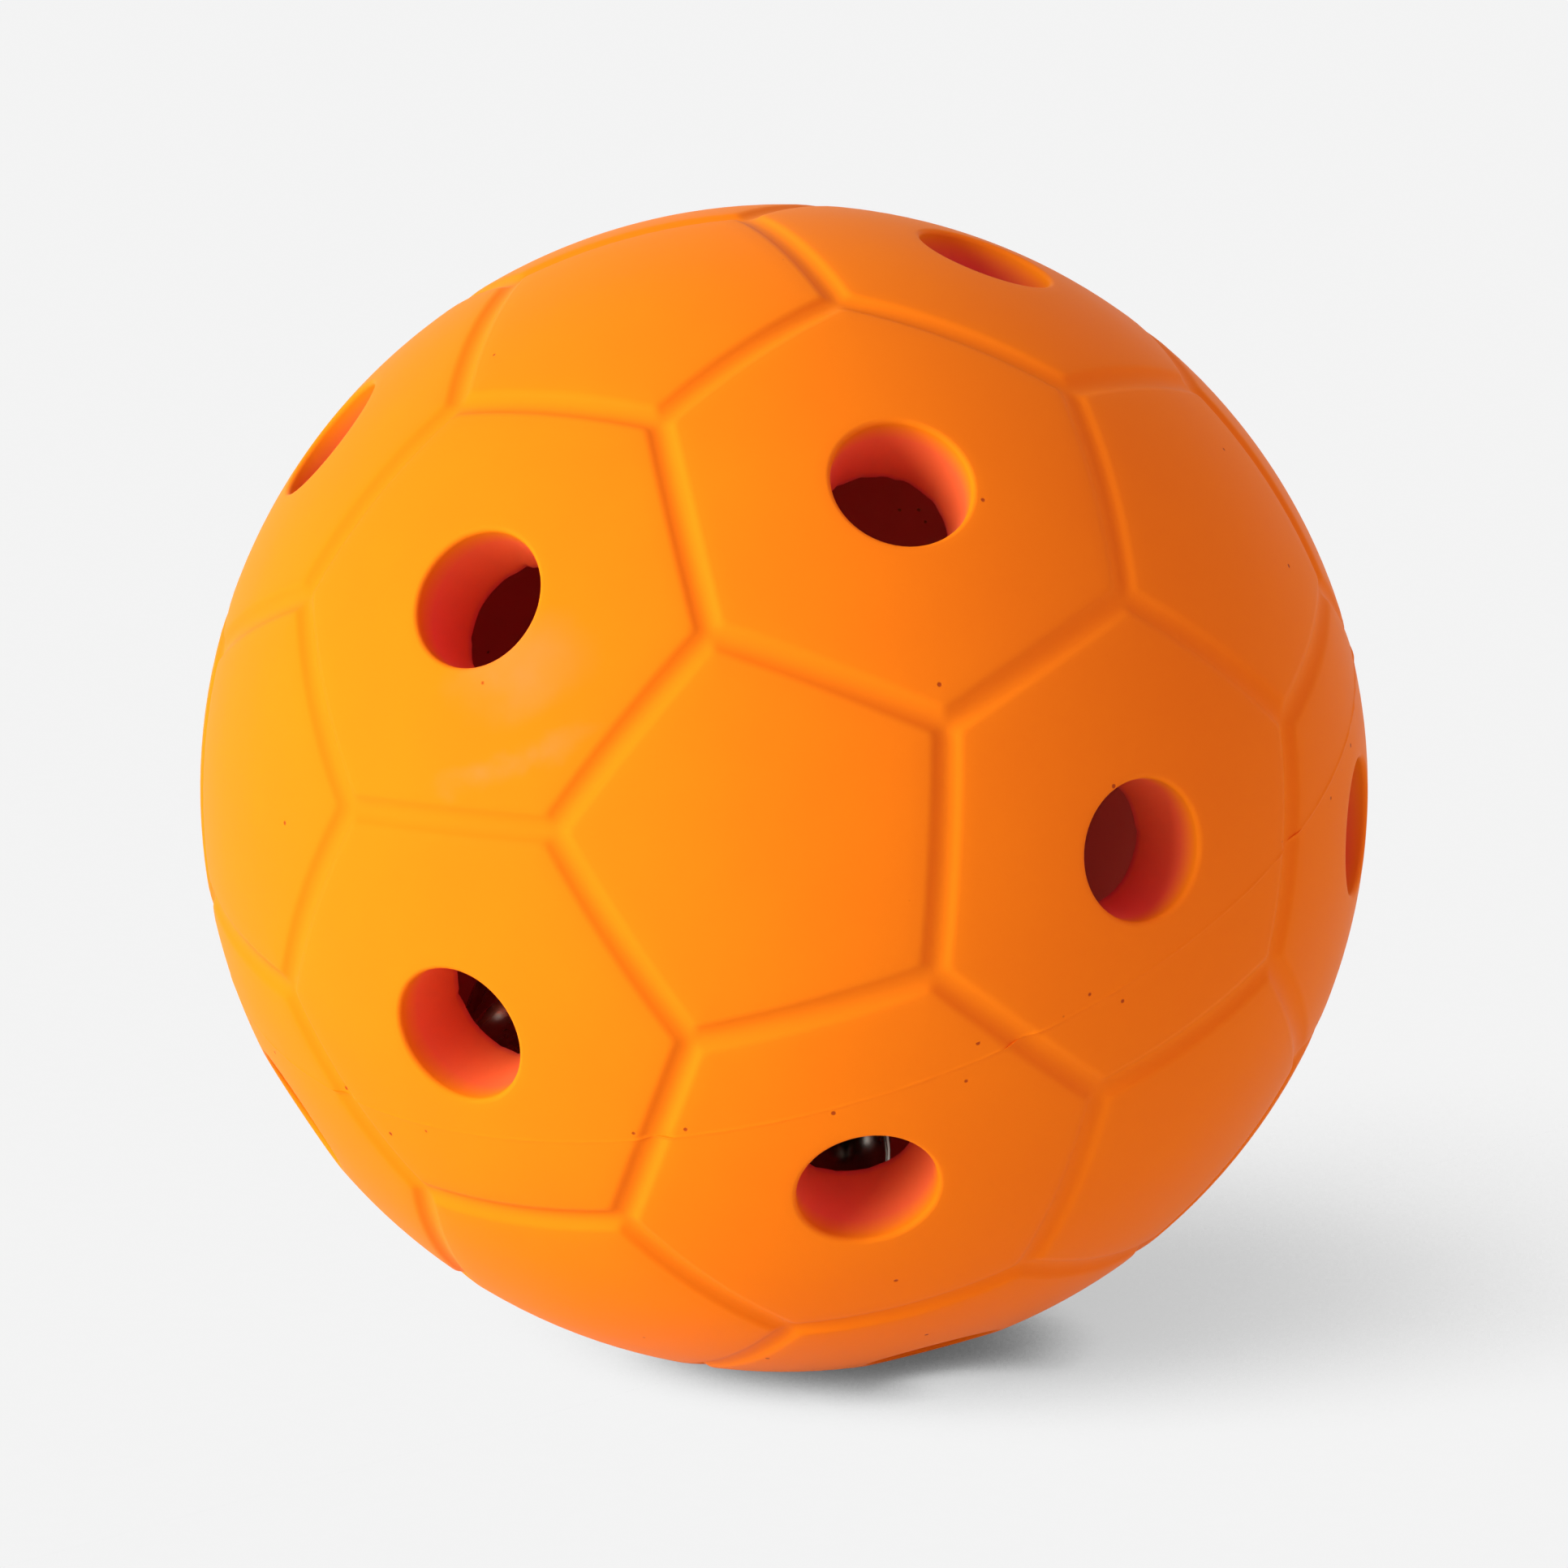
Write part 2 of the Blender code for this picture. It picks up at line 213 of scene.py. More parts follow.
class RubberBallSettings(bpy.types.PropertyGroup):
    diameter: FloatProperty(
        name="Diameter", description="Across the ball", default=0.100, unit="LENGTH", precision=4
    )
    wall: FloatProperty(
        name="Wall", description="Thickness of the rubber", default=0.008, unit="LENGTH", precision=4
    )
    groove_width: FloatProperty(
        name="Groove width", description="Across a groove", default=0.0024, unit="LENGTH", precision=4
    )
    groove_depth: FloatProperty(
        name="Groove depth", description="Of the grooves", default=0.0005, unit="LENGTH", precision=4
    )
    corner_share: FloatProperty(
        name="Corner",
        description="Share of an edge that a panel's corner takes",
        default=2.5,
        subtype="PERCENTAGE",
    )
    hole_mouth: FloatProperty(
        name="Hole mouth",
        description="Hole diameter outside",
        default=0.0116,
        unit="LENGTH",
        precision=4,
    )
    hole_inner: FloatProperty(
        name="Hole inside",
        description="Hole diameter inside",
        default=0.0108,
        unit="LENGTH",
        precision=4,
    )
    rim_rounding: FloatProperty(
        name="Rim rounding",
        description="Radius of a hole's rim",
        default=0.0005,
        unit="LENGTH",
        precision=4,
    )
    inner_rounding: FloatProperty(
        name="Inner rounding",
        description="Radius of a hole's inner edge",
        default=0.0002,
        unit="LENGTH",
        precision=4,
    )
    inner_nicks: FloatProperty(
        name="Inner nicks",
        description="Depth of nicks in the inner edges",
        default=0.0004,
        unit="LENGTH",
        precision=4,
    )
    flash: FloatProperty(
        name="Flash",
        description="Share of the mould flash left where it is fullest",
        default=0.6,
        subtype="FACTOR",
    )
    turn: FloatVectorProperty(
        name="Turn",
        description="How the ball lies: its mould's pole axis turned away from upright",
        default=[radians(angle) for angle in (23.13, -8.83, -16.97)],
        subtype="EULER",
    )
    colour: FloatVectorProperty(
        name="Rubber", description="Outside of the ball", default=linear("F38912"), subtype="COLOR"
    )
    deep_colour: FloatVectorProperty(
        name="Rubber, deeper",
        description="Mottling of the outside",
        default=linear("F08312"),
        subtype="COLOR",
    )
    # A rubbed streak and a painted sheen share this pale colour
    rubbed_and_sheen_colour: FloatVectorProperty(
        name="Rubber, rubbed",
        description="Pale marks on the outside",
        default=linear("FB8B36"),
        subtype="COLOR",
    )
    # Painted shade: the holes are coloured redder than the outside for the shade in them
    hole_shade_colour: FloatVectorProperty(
        name="Rubber in holes",
        description="Raw rubber in the holes",
        default=linear("F8703A"),
        subtype="COLOR",
    )
    # Painted shade: the inside is coloured redder and darker for the shade in it
    inside_shade_colour: FloatVectorProperty(
        name="Rubber inside",
        description="Rubbed dark by the bells",
        default=linear("E65A4A"),
        subtype="COLOR",
    )
    # The air pits are coloured darker than the skin
    pit_colour: FloatVectorProperty(
        name="Air pits", description="Dirt in the pits", default=linear("AE4C14"), subtype="COLOR"
    )


class JingleBellSettings(bpy.types.PropertyGroup):
    diameter: FloatProperty(
        name="Diameter", description="Across a bell's dome", default=0.018, unit="LENGTH", precision=4
    )
    sheet: FloatProperty(
        name="Sheet",
        description="Thickness of the pressed sheet",
        default=0.0005,
        unit="LENGTH",
        precision=4,
    )
    rim_proud: FloatProperty(
        name="Rim", description="How far the rim stands out", default=0.0003, unit="LENGTH", precision=4
    )
    rim_height: FloatProperty(
        name="Rim height", description="Of each half's rim", default=0.0007, unit="LENGTH", precision=4
    )
    slot_width: FloatProperty(
        name="Slot",
        description="Width of the crossed slots",
        default=0.0018,
        unit="LENGTH",
        precision=4,
    )
    slot_depth: FloatProperty(
        name="Slot ends",
        description="How far below the rim the slots end",
        default=0.0042,
        unit="LENGTH",
        precision=4,
    )
    slot_hole: FloatProperty(
        name="Slot holes",
        description="Diameter of the round slot ends",
        default=0.0026,
        unit="LENGTH",
        precision=4,
    )
    slot_rounding: FloatProperty(
        name="Slot edges",
        description="Worn off the edges of the slots",
        default=0.0002,
        unit="LENGTH",
        precision=4,
    )
    loop_width: FloatProperty(
        name="Loop", description="Across the wire loop", default=0.0048, unit="LENGTH", precision=4
    )
    loop_wire: FloatProperty(
        name="Wire",
        description="Diameter of the loop's wire",
        default=0.0012,
        unit="LENGTH",
        precision=4,
    )
    loop_leg: FloatProperty(
        name="Legs", description="Straight legs of the loop", default=0.0012, unit="LENGTH", precision=4
    )
    pellet: FloatProperty(
        name="Pellet",
        description="Diameter of the loose pellet",
        default=0.0050,
        unit="LENGTH",
        precision=4,
    )
    pellet_dents: FloatProperty(
        name="Pellet dents",
        description="Depth of a pellet's dents",
        default=0.0002,
        unit="LENGTH",
        precision=4,
    )
    plate: FloatVectorProperty(
        name="Nickel plate", description="Bell's plating", default=linear("B4ACA2"), subtype="COLOR"
    )
    tarnish: FloatVectorProperty(
        name="Tarnish", description="Dulled plating", default=linear("766C62"), subtype="COLOR"
    )
    steel: FloatVectorProperty(
        name="Steel", description="Bare pellet", default=linear("A9A7A3"), subtype="COLOR"
    )


class StudioSettings(bpy.types.PropertyGroup):
    floor_colour: FloatVectorProperty(
        name="Floor", description="Pale paper under the ball", default=linear("F3F3F3"), subtype="COLOR"
    )
    lens: FloatProperty(
        name="Lens", description="Focal length on a 36 mm wide frame", default=169.8, unit="CAMERA"
    )
    camera_distance: FloatProperty(
        name="Camera distance", description="From the ball's centre", default=0.6353, unit="LENGTH"
    )
    camera_height: FloatProperty(
        name="Camera height", description="Angle above the ball", default=radians(12), unit="ROTATION"
    )
    framing: FloatProperty(
        name="Framing",
        description="Height that the camera looks at",
        default=0.00035,
        unit="LENGTH",
        precision=5,
    )
    key_level: FloatProperty(
        name="Key level", description="Light on a surface that faces the key", default=1.9
    )
    key_side: FloatProperty(
        name="Key side", description="Left of the camera", default=radians(64), unit="ROTATION"
    )
    key_height: FloatProperty(
        name="Key height", description="Above the floor", default=radians(8), unit="ROTATION"
    )
    key_size: FloatProperty(
        name="Key size",
        description="Angle that the soft key covers",
        default=radians(52),
        unit="ROTATION",
    )
    left_fill: FloatVectorProperty(
        name="Left fill",
        description="Soft light from the left",
        default=(0.40, 0.40, 0.40),
        subtype="COLOR",
    )
    right_fill: FloatVectorProperty(
        name="Right fill",
        description="Soft rosy light from the right",
        default=(0.72, 0.08, 1.00),
        subtype="COLOR",
    )
    back_fill: FloatVectorProperty(
        name="Back fill",
        description="Soft light from behind",
        default=(0.82, 0.90, 0.66),
        subtype="COLOR",
    )
    shade_side: FloatProperty(
        name="Shade side",
        description="Left of the camera, away from the shade",
        default=radians(48),
        unit="ROTATION",
    )
    shade_height: FloatProperty(
        name="Shade height", description="Above the floor", default=radians(5), unit="ROTATION"
    )
    shade_reach: FloatProperty(
        name="Shade reach", description="How far the wide shade looks", default=0.25, unit="LENGTH"
    )
    shade_dark: FloatProperty(name="Shade", description="Darkest of the wide shade", default=0.60)
    contact_side: FloatProperty(
        name="Contact side",
        description="Left of the camera, away from the close shade",
        default=radians(65),
        unit="ROTATION",
    )
    contact_reach: FloatProperty(
        name="Contact reach", description="How far the close shade looks", default=0.010, unit="LENGTH"
    )
    contact_dark: FloatProperty(name="Contact", description="Darkest of the close shade", default=0.15)


class BellBallSettings(bpy.types.PropertyGroup):
    ball: PointerProperty(type=RubberBallSettings)
    bell: PointerProperty(type=JingleBellSettings)
    studio: PointerProperty(type=StudioSettings)


def start(add, **settings):
    """Add a primitive with nothing else selected."""
    bpy.ops.object.select_all(action="DESELECT")
    add(**settings)
    return bpy.context.object


def edit():
    """Go into edit mode."""
    bpy.ops.object.mode_set(mode="EDIT")


def leave():
    """Go back to object mode."""
    bpy.ops.object.mode_set(mode="OBJECT")


def places(piece):
    """The piece's points, one row each."""
    rows = np.empty(len(piece.data.vertices) * 3)
    piece.data.vertices.foreach_get("co", rows)
    return rows.reshape(-1, 3)


def pick(piece, test):
    """In edit mode, select the points whose places pass a test, and the edges and faces between them."""
    edit()
    bpy.ops.mesh.select_mode(type="VERT")
    bpy.ops.mesh.select_all(action="DESELECT")
    leave()
    piece.data.vertices.foreach_set("select", test(places(piece)))
    edit()


def pick_edges(piece, longer_than):
    """In edit mode, select the edges longer than a length."""
    edit()
    bpy.ops.mesh.select_mode(type="EDGE")
    bpy.ops.mesh.select_all(action="DESELECT")
    leave()
    rows = places(piece)
    for edge in piece.data.edges:
        a, b = edge.vertices
        edge.select = bool(np.linalg.norm(rows[a] - rows[b]) > longer_than)
    edit()


def grow(scale, rise):
    """Extrude the selected ring in place, then scale it about the Z axis and lift it."""
    bpy.ops.mesh.extrude_region_move()
    bpy.ops.transform.resize(value=(scale, scale, 1), center_override=(0, 0, 0))
    bpy.ops.transform.translate(value=(0, 0, rise))


def take(piece):
    """Select one piece alone and make it the active one."""
    bpy.ops.object.select_all(action="DESELECT")
    piece.select_set(True)
    bpy.context.view_layer.objects.active = piece


def apply_place(piece, matrix):
    """Put a piece in place and move its place into its mesh."""
    take(piece)
    piece.matrix_world = matrix
    bpy.ops.object.transform_apply(location=True, rotation=True, scale=True)


def copy_of(piece, name):
    """A copy of a piece with its own mesh and name."""
    take(piece)
    bpy.ops.object.duplicate()
    twin = bpy.context.object
    twin.name = name
    return twin


def sort_mesh():
    """Put all of the edited mesh in one order, whatever order a cut has left it in, and select it."""
    cursor = bpy.context.scene.cursor
    cursor.location = SORT_FROM
    bpy.ops.mesh.select_all(action="SELECT")
    bpy.ops.mesh.sort_elements(type="CURSOR_DISTANCE", elements={"VERT", "EDGE", "FACE"})
    cursor.location = (0, 0, 0)


def tidy_shape(piece):
    """Merge doubles, turn all faces outwards and shade it smooth but for its sharp edges."""
    take(piece)
    edit()
    bpy.ops.mesh.select_all(action="SELECT")
    bpy.ops.mesh.remove_doubles(threshold=SAME_CORNER)
    bpy.ops.mesh.normals_make_consistent(inside=False)
    leave()
    bpy.ops.object.shade_smooth_by_angle(angle=SMOOTH_EDGE)


def cut_with(piece, cutter):
    """Cut a solid out of a piece and delete the solid."""
    take(piece)
    step = piece.modifiers.new(cutter.name, "BOOLEAN")
    step.operation = "DIFFERENCE"
    step.solver = "EXACT"
    step.object = cutter
    bpy.ops.object.modifier_apply(modifier=step.name)
    bpy.data.objects.remove(cutter, do_unlink=True)


def add_node(tree, kind, inputs=None, **settings):
    """Add a node with its own settings, then set each input or link it."""
    made = tree.nodes.new(kind)
    for key, value in settings.items():
        setattr(made, key, value)
    for key, value in (inputs or {}).items():
        if isinstance(value, bpy.types.NodeSocket):
            tree.links.new(value, made.inputs[key])
        else:
            made.inputs[key].default_value = value
    return made


def new_material(name):
    """A new material, its node tree and its Principled shader."""
    material = bpy.data.materials.new(name)
    material.use_nodes = True
    return material, material.node_tree, material.node_tree.nodes["Principled BSDF"]


def per(size):
    """Texture scale that gives features of a real size."""
    return 1 / size


def with_rub_and_sheen(tree, at, tone, ball):
    """The skin's colour with a pale rubbed streak and a wider painted sheen, a millimetre or so out of line
    and patchy.
    """
    patchy = add_node(tree, "ShaderNodeTexNoise", {"Vector": at, "Scale": per(MARK_PATCHES), "Detail": 4.0})
    bent = add_node(
        tree, "ShaderNodeVectorMath", {0: patchy.outputs["Color"], 1: (0.5, 0.5, 0.5)}, operation="SUBTRACT"
    )
    bent = add_node(
        tree,
        "ShaderNodeVectorMath",
        {0: bent.outputs[0], 1: (MARK_BEND, MARK_BEND, MARK_BEND), 2: at},
        operation="MULTIPLY_ADD",
    )
    strong, gone = MARK_FADE
    # The first mark is a rubbed streak, the second a painted sheen
    for one_end, other_end, width in RUBBED_MARK_AND_SHEEN:
        along = Vector(other_end) - Vector(one_end)
        inside = add_node(
            tree,
            "ShaderNodeMapping",
            {
                "Vector": bent.outputs[0],
                "Location": (Vector(one_end) + Vector(other_end)) / 2,
                "Rotation": along.to_track_quat("X", "Z").to_euler(),
                "Scale": (along.length / 2, width / 2, width / 2),
            },
            vector_type="TEXTURE",
        )
        from_mark = add_node(tree, "ShaderNodeVectorMath", {0: inside.outputs[0]}, operation="LENGTH")
        rubbed = add_node(
            tree,
            "ShaderNodeMapRange",
            {"Value": from_mark.outputs["Value"], 1: strong, 2: gone, 3: MARK_STRENGTH, 4: 0.0},
            interpolation_type="SMOOTHSTEP",
        )
        rubbed = add_node(
            tree, "ShaderNodeMath", {0: rubbed.outputs[0], 1: patchy.outputs["Fac"]}, operation="MULTIPLY"
        )
        tone = add_node(
            tree,
            "ShaderNodeMix",
            {0: rubbed.outputs[0], 6: tone, 7: (*ball.rubbed_and_sheen_colour, 1)},
            data_type="RGBA",
        ).outputs[2]
    return tone


def with_painted_hole_shade(tree, at, tone, ball):
    """Painted shade through the wall: redder deep in the holes, and redder and darker inside the ball."""
    radius = ball.diameter / 2
    from_middle = add_node(tree, "ShaderNodeVectorMath", {0: at}, operation="LENGTH")
    # Painted shade, deepest first: the inside's darker red, the holes' red, then the outside's colour
    shaded = (*ball.inside_shade_colour, 1)
    for low, high, colour in (
        (radius - ball.wall, radius - ball.wall * INSIDE_SHADE_DEPTH, (*ball.hole_shade_colour, 1)),
        (radius - ball.wall * HOLE_SHADE_DEPTH, radius - ball.groove_depth * SHADE_GONE, tone),
    ):
        share = add_node(
            tree, "ShaderNodeMapRange", {"Value": from_middle.outputs["Value"], 1: low, 2: high}
        )
        shaded = add_node(
            tree, "ShaderNodeMix", {0: share.outputs["Result"], 6: shaded, 7: colour}, data_type="RGBA"
        ).outputs[2]
    return shaded


def pits(tree, at, apart):
    """Air pits about 0.35 mm across, at a distance from each other: 0 in a pit and 1 elsewhere."""
    cells = add_node(tree, "ShaderNodeTexVoronoi", {"Vector": at, "Scale": per(apart)})
    return add_node(
        tree,
        "ShaderNodeMapRange",
        {"Value": cells.outputs["Distance"], 1: PIT_BOTTOM / apart, 2: PIT_EDGE / apart},
        interpolation_type="SMOOTHSTEP",
    ).outputs["Result"]


def unpitted(tree, at, ball):
    """0 in the air pits and 1 elsewhere, with some pits all over and more along the parting line."""
    pole = Euler(ball.turn).to_matrix() @ Vector((0, 0, 1))
    off_line = add_node(tree, "ShaderNodeVectorMath", {0: at, 1: pole}, operation="DOT_PRODUCT")
    far = add_node(tree, "ShaderNodeMath", {0: off_line.outputs["Value"]}, operation="ABSOLUTE")
    far = add_node(tree, "ShaderNodeMath", {0: far.outputs[0], 1: PITTED_LINE}, operation="GREATER_THAN")
    by_line = add_node(
        tree, "ShaderNodeMath", {0: pits(tree, at, LINE_PITS_APART), 1: far.outputs[0]}, operation="MAXIMUM"
    )
    return add_node(
        tree, "ShaderNodeMath", {0: pits(tree, at, PITS_APART), 1: by_line.outputs[0]}, operation="MINIMUM"
    ).outputs[0]


def rubber_material(ball):
    """Natural rubber, coloured through and moulded: nearly matt, mottled, a few air pits, with painted
    shade that makes it redder in the holes and inside.
    """
    material, tree, shader = new_material("moulded_natural_rubber")
    at = add_node(tree, "ShaderNodeTexCoord").outputs["Object"]
    mottle = add_node(tree, "ShaderNodeTexNoise", {"Vector": at, "Scale": per(MOTTLE_SIZE), "Detail": 3.0})
    tone = add_node(
        tree,
        "ShaderNodeMix",
        {0: mottle.outputs["Fac"], 6: (*ball.deep_colour, 1), 7: (*ball.colour, 1)},
        data_type="RGBA",
    ).outputs[2]
    tone = with_painted_hole_shade(tree, at, with_rub_and_sheen(tree, at, tone, ball), ball)
    clear = unpitted(tree, at, ball)
    pitted = add_node(
        tree, "ShaderNodeMix", {0: clear, 6: (*ball.pit_colour, 1), 7: tone}, data_type="RGBA"
    )
    # Nearly matt skin of the mould: its grain is drawn coarser than the real 0.05 mm so that it shows
    grain = add_node(tree, "ShaderNodeTexNoise", {"Vector": at, "Scale": per(GRAIN_SIZE), "Detail": 2.0})
    smooth, rough = RUBBER_ROUGHNESS
    gloss = add_node(tree, "ShaderNodeMapRange", {"Value": mottle.outputs["Fac"], 3: smooth, 4: rough})
    skin = add_node(
        tree, "ShaderNodeBump", {"Height": grain.outputs["Fac"], "Strength": 0.05, "Distance": SKIN_RELIEF}
    )
    pocked = add_node(
        tree,
        "ShaderNodeBump",
        {"Height": clear, "Strength": 0.6, "Distance": SKIN_RELIEF, "Normal": skin.outputs[0]},
    )
    tree.links.new(pitted.outputs[2], shader.inputs["Base Color"])
    tree.links.new(gloss.outputs["Result"], shader.inputs["Roughness"])
    tree.links.new(pocked.outputs[0], shader.inputs["Normal"])
    shader.inputs["IOR"].default_value = 1.52
    shader.inputs["Specular IOR Level"].default_value = 0.02
    return material


def metal_material(name, bright, dull, smooth, rough):
    """A metal that has lost its shine in patches and is finely scratched."""
    material, tree, shader = new_material(name)
    at = add_node(tree, "ShaderNodeTexCoord").outputs["Object"]
    patches = add_node(tree, "ShaderNodeTexNoise", {"Vector": at, "Scale": per(PATCH_SIZE), "Detail": 4.0})
    starts, full = METAL_DULLS
    worn = add_node(tree, "ShaderNodeMapRange", {"Value": patches.outputs["Fac"], 1: starts, 2: full})
    tone = add_node(
        tree,
        "ShaderNodeMix",
        {0: worn.outputs["Result"], 6: (*bright, 1), 7: (*dull, 1)},
        data_type="RGBA",
    )
    gloss = add_node(tree, "ShaderNodeMapRange", {"Value": worn.outputs["Result"], 3: smooth, 4: rough})
    scuffs = add_node(tree, "ShaderNodeTexNoise", {"Vector": at, "Scale": per(SCUFF_SIZE), "Detail": 3.0})
    bump = add_node(
        tree, "ShaderNodeBump", {"Height": scuffs.outputs["Fac"], "Strength": 0.08, "Distance": SCUFF_DEPTH}
    )
    tree.links.new(tone.outputs[2], shader.inputs["Base Color"])
    tree.links.new(gloss.outputs["Result"], shader.inputs["Roughness"])
    tree.links.new(bump.outputs[0], shader.inputs["Normal"])
    shader.inputs["Metallic"].default_value = 1.0
    return material


def flat_reach(ball, r, depth):
    """Where a ring about a panel's axis lies on the flat panel, from its true radius and its depth."""
    radius = ball.diameter / 2
    return radius * tan(asin(r / (radius - depth)))


def panel_guide(ball):
    """An icosahedron with its corners cut: its 12 five-sided and 20 six-sided faces are the panels."""
    guide = start(bpy.ops.mesh.primitive_ico_sphere_add, subdivisions=1, radius=ball.diameter / 2)
    edit()
    bpy.ops.mesh.select_all(action="SELECT")
    bpy.ops.mesh.bevel(
        offset_type="PERCENT", offset_pct=100 / 3, segments=1, profile=0.5, affect="VERTICES"
    )
    leave()
    return guide


def panel_border(ball, sides, corner_reach):
    """A panel's outline with small round corners, at the bottom of its grooves and again on the inside."""
    panel = start(
        bpy.ops.mesh.primitive_circle_add, vertices=sides, radius=corner_reach, fill_type="NOTHING"
    )
    edit()
    bpy.ops.mesh.select_all(action="SELECT")
    bpy.ops.mesh.bevel(
        offset_type="PERCENT",
        offset_pct=ball.corner_share,
        segments=PANEL_CORNER_STEPS,
        profile=0.5,
        affect="VERTICES",
    )
    pick_edges(panel, corner_reach * STRAIGHT_SIDE)
    bpy.ops.mesh.subdivide(number_cuts=PANEL_EDGE_CUTS)
    bpy.ops.mesh.select_mode(type="VERT")
    bpy.ops.mesh.select_all(action="SELECT")
    bpy.ops.transform.translate(value=(0, 0, -ball.groove_depth))
    bpy.ops.mesh.duplicate_move(TRANSFORM_OT_translate={"value": (0, 0, ball.groove_depth - ball.wall)})
    return panel


def groove_share(across):
    """Share of its depth that a groove has at a share of its half width: an arc, then a rolled edge."""
    edge = GROOVE_POINTS[-1]
    if across < GROOVE_STEEPEST:
        return 1 - across**2 / GROOVE_STEEPEST / edge
    return (edge - across) ** 2 / (edge - GROOVE_STEEPEST) / edge


def groove_side(ball, panel, apothem):
    """Grow the outer skin up one side of the groove, and return the share of the panel that is left."""
    radius = ball.diameter / 2
    pick(panel, lambda rows: rows[:, 2] > -ball.wall / 2)
    share, depth = 1.0, ball.groove_depth
    for across in GROOVE_POINTS[1:]:
        reach = radius * tan(atan(apothem / radius) - across * ball.groove_width / 2 / radius)
        down = groove_share(across) * ball.groove_depth
        grow(reach / apothem / share, depth - down)
        share, depth = reach / apothem, down
    return share


def ring_radius(panel):
    """Mean radius of the selected ring about the Z axis."""
    leave()
    picked = np.array([v.co.xy.length for v in panel.data.vertices if v.select])
    edit()
    return picked.mean()


def round_in(panel, share, hole_reach, apothem, height):
    """Grow rings from a panel's straight sides in to a round hole."""
    steps = len(PANEL_ROUNDING)
    last = LAST_RING * hole_reach / apothem
    for i, rounding in enumerate(PANEL_ROUNDING, 1):
        reach = share + (last - share) * i / steps
        before = share + (last - share) * (i - 1) / steps
        grow(reach / before, 0)
        bpy.ops.transform.tosphere(value=rounding, center_override=(0, 0, height))
    return ring_radius(panel)


def wrap(ball, panel):
    """Wrap a flat panel onto the ball, its heights along the ball's radius."""
    radius = ball.diameter / 2
    rows = places(panel)
    ways = rows.copy()
    ways[:, 2] = radius
    ways *= ((radius + rows[:, 2]) / np.linalg.norm(ways, axis=1))[:, None]
    panel.data.vertices.foreach_set("co", ways.ravel())
    panel.data.update()


def holed_panel(ball, corner_reach):
    """A six-sided panel with its hole, through the wall from the grooves to the inside."""
    apothem = corner_reach * cos(pi / 6)
    panel = panel_border(ball, 6, corner_reach)
    panel.name = "holed_panel"
    mouth, inner = ball.hole_mouth / 2, ball.hole_inner / 2
    rim, edge = ball.rim_rounding, ball.inner_rounding

    inmost = flat_reach(ball, inner + edge, ball.wall)
    reach = round_in(panel, 1.0, inmost, apothem, -ball.wall)
    grow(inmost / reach, 0)

    share = groove_side(ball, panel, apothem)
    outmost = flat_reach(ball, mouth + rim, 0)
    reach = round_in(panel, share, outmost, apothem, 0)
    section = []
    for i in range(RIM_STEPS + 1):
        lean = pi / 2 * i / RIM_STEPS
        section.append((mouth + rim * (1 - sin(lean)), rim * (1 - cos(lean))))
    for i in range(1, BORE_STEPS + 1):
        along = i / BORE_STEPS
        section.append((mouth + (inner - mouth) * along, rim + (ball.wall - edge - rim) * along))
    for i in range(1, BORE_EDGE_STEPS + 1):
        lean = pi / 2 * i / BORE_EDGE_STEPS
        section.append((inner + edge * (1 - cos(lean)), ball.wall - edge * (1 - sin(lean))))
    depth = 0.0
    for r, down in section:
        grow(flat_reach(ball, r, down) / reach, depth - down)
        reach, depth = flat_reach(ball, r, down), down
    leave()
    wrap(ball, panel)
    return panel


def bare_panel(ball, corner_reach):
    """A five-sided panel, outside and inside."""
    apothem = corner_reach * cos(pi / 5)
    panel = panel_border(ball, 5, corner_reach)
    panel.name = "bare_panel"
    for skin in ("inside", "outside"):
        if skin == "outside":
            groove_side(ball, panel, apothem)
        before = 1.0
        for ring in BARE_PANEL_RINGS:
            grow(ring / before, 0)
            before = ring
        bpy.ops.mesh.extrude_region_move()
        bpy.ops.mesh.merge(type="CENTER")
    leave()
    wrap(ball, panel)
    return panel


def panel_place(guide, face):
    """A matrix that puts a wrapped panel on one face of the guide."""
    outward = face.center.normalized()
    corner = guide.data.vertices[face.vertices[0]].co - face.center
    corner = (corner - outward * corner.dot(outward)).normalized()
    return Matrix((corner.cross(outward), corner, outward)).transposed().to_4x4()


def cover_half(ball):
    """Copy the panels over the upper half of the ball and a little past its parting line."""
    guide = panel_guide(ball)
    radius = ball.diameter / 2
    panels = {}
    for face in guide.data.polygons:
        sides = len(face.vertices)
        if sides not in panels:
            corner = guide.data.vertices[face.vertices[0]].co
            reach = radius * (corner - face.center).length / face.center.length
            panels[sides] = holed_panel(ball, reach) if sides == 6 else bare_panel(ball, reach)
    copies = []
    for face in guide.data.polygons:
        if face.center.normalized().z > LOWEST_PANEL:
            copy = copy_of(panels[len(face.vertices)], "panel")
            copy.matrix_world = panel_place(guide, face)
            copies.append(copy)
    bpy.ops.object.select_all(action="DESELECT")
    for copy in copies:
        copy.select_set(True)
    bpy.context.view_layer.objects.active = copies[0]
    bpy.ops.object.join()
    half = bpy.context.object
    bpy.ops.object.transform_apply(location=True, rotation=True, scale=True)
    holes = [face.center.normalized() for face in guide.data.polygons if len(face.vertices) == 6]
    for helper in (guide, *panels.values()):
        bpy.data.objects.remove(helper, do_unlink=True)
    edit()
    bpy.ops.mesh.select_all(action="SELECT")
    bpy.ops.mesh.remove_doubles(threshold=PANELS_MEET)
    # Three rounded corners leave a small gap where they meet
    bpy.ops.mesh.select_all(action="SELECT")
    bpy.ops.mesh.fill_holes(sides=4 * PANEL_CORNER_STEPS)
    leave()
    return half, holes


